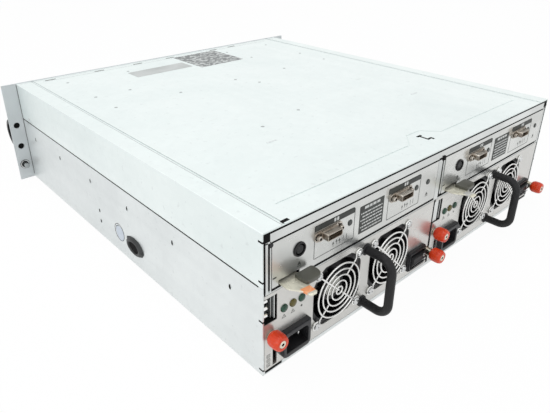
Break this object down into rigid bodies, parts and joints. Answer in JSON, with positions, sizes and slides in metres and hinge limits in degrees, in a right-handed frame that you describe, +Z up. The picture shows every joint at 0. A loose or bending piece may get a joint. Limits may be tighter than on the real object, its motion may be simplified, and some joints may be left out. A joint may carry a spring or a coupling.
{
  "type": "disk shelf enclosure",
  "caption": "Three-unit rack shelf for disk drives: drive carriers in front, sliding I/O modules and fan-cooled power modules with thumbscrews and handles behind.",
  "frame": {"origin": "middle of the whole part's footprint, on the plane of the tray's underside", "axes": "+Z up, +Y towards the module side (rear), -Y towards the drive side (front), +X across"},
  "size_m": [0.4826, 0.5292, 0.1305],
  "materials": {
    "zinc_sheet": "galvanised, faint spangle",
    "frame_steel": "satin nickel",
    "face_nickel": "satin mirror nickel",
    "ear_steel": "grey satin",
    "black_plastic": "fine grain",
    "grey_plastic": "satin",
    "board_green": "solder mask",
    "connector_metal": "warm nickel",
    "fan_black": "moulded",
    "wire_chrome": "bright",
    "handle_black": "semi-matt black",
    "lens_green": "clear tinted",
    "lens_dark": "dark tinted",
    "knob_orange": "moulded",
    "tab_nickel": "nickel",
    "carrier_grey": "satin",
    "screw_zinc": "zinc"
  },
  "bodies": {
    "chassis": {"chassis_tray": "zinc_sheet", "side_plug": "black_plastic", "top_cover": "zinc_sheet", "rear_frame": "frame_steel", "front_frame": "ear_steel", "ear_caps": "grey_plastic", "ear_screws": "screw_zinc", "drive_cage": "zinc_sheet", "midplane_board": "board_green"},
    "drive_carrier_01": {"drive_carrier_01": "carrier_grey"},
    "drive_carrier_02": {"drive_carrier_02": "carrier_grey"},
    "drive_carrier_03": {"drive_carrier_03": "carrier_grey"},
    "drive_carrier_04": {"drive_carrier_04": "carrier_grey"},
    "drive_carrier_05": {"drive_carrier_05": "carrier_grey"},
    "drive_carrier_06": {"drive_carrier_06": "carrier_grey"},
    "drive_carrier_07": {"drive_carrier_07": "carrier_grey"},
    "drive_carrier_08": {"drive_carrier_08": "carrier_grey"},
    "drive_carrier_09": {"drive_carrier_09": "carrier_grey"},
    "drive_carrier_10": {"drive_carrier_10": "carrier_grey"},
    "drive_carrier_11": {"drive_carrier_11": "carrier_grey"},
    "drive_carrier_12": {"drive_carrier_12": "carrier_grey"},
    "drive_carrier_13": {"drive_carrier_13": "carrier_grey"},
    "drive_carrier_14": {"drive_carrier_14": "carrier_grey"},
    "drive_carrier_15": {"drive_carrier_15": "carrier_grey"},
    "io_1_module": {"io_1_case": "face_nickel", "io_1_board": "board_green", "io_1_ports": "connector_metal", "io_1_console_port": "black_plastic", "io_1_lenses": "lens_dark"},
    "io_1_release_tab": {"io_1_release_tab": "tab_nickel"},
    "io_2_module": {"io_2_case": "face_nickel", "io_2_board": "board_green", "io_2_ports": "connector_metal", "io_2_console_port": "black_plastic", "io_2_lenses": "lens_dark"},
    "io_2_release_tab": {"io_2_release_tab": "tab_nickel"},
    "power_1_module": {"power_1_case": "face_nickel", "power_1_fan_frames": "fan_black", "power_1_fan_guards": "wire_chrome", "power_1_handle": "handle_black", "power_1_inlet": "black_plastic", "power_1_switch_frame": "black_plastic", "power_1_lights": "lens_green"},
    "power_1_rotor_a": {"power_1_rotor_a": "fan_black"},
    "power_1_rotor_b": {"power_1_rotor_b": "fan_black"},
    "power_1_rocker": {"power_1_rocker": "black_plastic"},
    "power_1_thumbscrew_outer": {"power_1_thumbscrew_outer": "knob_orange"},
    "power_1_thumbscrew_inner": {"power_1_thumbscrew_inner": "knob_orange"},
    "power_2_module": {"power_2_case": "face_nickel", "power_2_fan_frames": "fan_black", "power_2_fan_guards": "wire_chrome", "power_2_handle": "handle_black", "power_2_inlet": "black_plastic", "power_2_switch_frame": "black_plastic", "power_2_lights": "lens_green"},
    "power_2_rotor_a": {"power_2_rotor_a": "fan_black"},
    "power_2_rotor_b": {"power_2_rotor_b": "fan_black"},
    "power_2_rocker": {"power_2_rocker": "black_plastic"},
    "power_2_thumbscrew_outer": {"power_2_thumbscrew_outer": "knob_orange"},
    "power_2_thumbscrew_inner": {"power_2_thumbscrew_inner": "knob_orange"}
  },
  "joints": [
    {"name": "drive_carrier_01_slide", "type": "slide", "parent": "chassis", "child": "drive_carrier_01", "axis": [0, -1, 0], "range_m": [0, 0.16]},
    {"name": "drive_carrier_02_slide", "type": "slide", "parent": "chassis", "child": "drive_carrier_02", "axis": [0, -1, 0], "range_m": [0, 0.16]},
    {"name": "drive_carrier_03_slide", "type": "slide", "parent": "chassis", "child": "drive_carrier_03", "axis": [0, -1, 0], "range_m": [0, 0.16]},
    {"name": "drive_carrier_04_slide", "type": "slide", "parent": "chassis", "child": "drive_carrier_04", "axis": [0, -1, 0], "range_m": [0, 0.16]},
    {"name": "drive_carrier_05_slide", "type": "slide", "parent": "chassis", "child": "drive_carrier_05", "axis": [0, -1, 0], "range_m": [0, 0.16]},
    {"name": "drive_carrier_06_slide", "type": "slide", "parent": "chassis", "child": "drive_carrier_06", "axis": [0, -1, 0], "range_m": [0, 0.16]},
    {"name": "drive_carrier_07_slide", "type": "slide", "parent": "chassis", "child": "drive_carrier_07", "axis": [0, -1, 0], "range_m": [0, 0.16]},
    {"name": "drive_carrier_08_slide", "type": "slide", "parent": "chassis", "child": "drive_carrier_08", "axis": [0, -1, 0], "range_m": [0, 0.16]},
    {"name": "drive_carrier_09_slide", "type": "slide", "parent": "chassis", "child": "drive_carrier_09", "axis": [0, -1, 0], "range_m": [0, 0.16]},
    {"name": "drive_carrier_10_slide", "type": "slide", "parent": "chassis", "child": "drive_carrier_10", "axis": [0, -1, 0], "range_m": [0, 0.16]},
    {"name": "drive_carrier_11_slide", "type": "slide", "parent": "chassis", "child": "drive_carrier_11", "axis": [0, -1, 0], "range_m": [0, 0.16]},
    {"name": "drive_carrier_12_slide", "type": "slide", "parent": "chassis", "child": "drive_carrier_12", "axis": [0, -1, 0], "range_m": [0, 0.16]},
    {"name": "drive_carrier_13_slide", "type": "slide", "parent": "chassis", "child": "drive_carrier_13", "axis": [0, -1, 0], "range_m": [0, 0.16]},
    {"name": "drive_carrier_14_slide", "type": "slide", "parent": "chassis", "child": "drive_carrier_14", "axis": [0, -1, 0], "range_m": [0, 0.16]},
    {"name": "drive_carrier_15_slide", "type": "slide", "parent": "chassis", "child": "drive_carrier_15", "axis": [0, -1, 0], "range_m": [0, 0.16]},
    {"name": "io_1_slide", "type": "slide", "parent": "chassis", "child": "io_1_module", "axis": [0, 1, 0], "range_m": [0, 0.22]},
    {"name": "io_1_release_tab_press", "type": "hinge", "parent": "io_1_module", "child": "io_1_release_tab", "pos_m": [0.1968, 0.22435, 0.0806], "axis": [1, 0, 0], "range_deg": [0, 5], "stiffness_Nm_per_rad": 1},
    {"name": "io_2_slide", "type": "slide", "parent": "chassis", "child": "io_2_module", "axis": [0, 1, 0], "range_m": [0, 0.22]},
    {"name": "io_2_release_tab_press", "type": "hinge", "parent": "io_2_module", "child": "io_2_release_tab", "pos_m": [-0.0252, 0.22435, 0.0806], "axis": [1, 0, 0], "range_deg": [0, 5], "stiffness_Nm_per_rad": 1},
    {"name": "power_1_slide", "type": "slide", "parent": "chassis", "child": "power_1_module", "axis": [0, 1, 0], "range_m": [0, 0.22]},
    {"name": "power_1_rotor_a_spin", "type": "hinge", "parent": "power_1_module", "child": "power_1_rotor_a", "pos_m": [0.14, 0.21935, 0.0415], "axis": [0, 1, 0], "continuous": true},
    {"name": "power_1_rotor_b_spin", "type": "hinge", "parent": "power_1_module", "child": "power_1_rotor_b", "pos_m": [0.0695, 0.21935, 0.0415], "axis": [0, 1, 0], "continuous": true},
    {"name": "power_1_rocker_tilt", "type": "hinge", "parent": "power_1_module", "child": "power_1_rocker", "pos_m": [0.025, 0.23035, 0.0206], "axis": [1, 0, 0], "range_deg": [0, 12]},
    {"name": "power_1_thumbscrew_outer_turn", "type": "hinge", "parent": "power_1_module", "child": "power_1_thumbscrew_outer", "pos_m": [0.2152, 0.23735, 0.037], "axis": [0, 1, 0], "continuous": true},
    {"name": "power_1_thumbscrew_inner_turn", "type": "hinge", "parent": "power_1_module", "child": "power_1_thumbscrew_inner", "pos_m": [0.0065, 0.23735, 0.021], "axis": [0, 1, 0], "continuous": true},
    {"name": "power_2_slide", "type": "slide", "parent": "chassis", "child": "power_2_module", "axis": [0, 1, 0], "range_m": [0, 0.22]},
    {"name": "power_2_rotor_a_spin", "type": "hinge", "parent": "power_2_module", "child": "power_2_rotor_a", "pos_m": [-0.082, 0.21935, 0.0415], "axis": [0, 1, 0], "continuous": true},
    {"name": "power_2_rotor_b_spin", "type": "hinge", "parent": "power_2_module", "child": "power_2_rotor_b", "pos_m": [-0.1525, 0.21935, 0.0415], "axis": [0, 1, 0], "continuous": true},
    {"name": "power_2_rocker_tilt", "type": "hinge", "parent": "power_2_module", "child": "power_2_rocker", "pos_m": [-0.197, 0.23035, 0.0206], "axis": [1, 0, 0], "range_deg": [0, 12]},
    {"name": "power_2_thumbscrew_outer_turn", "type": "hinge", "parent": "power_2_module", "child": "power_2_thumbscrew_outer", "pos_m": [-0.0068, 0.23735, 0.037], "axis": [0, 1, 0], "continuous": true},
    {"name": "power_2_thumbscrew_inner_turn", "type": "hinge", "parent": "power_2_module", "child": "power_2_thumbscrew_inner", "pos_m": [-0.2155, 0.23735, 0.021], "axis": [0, 1, 0], "continuous": true}
  ]
}
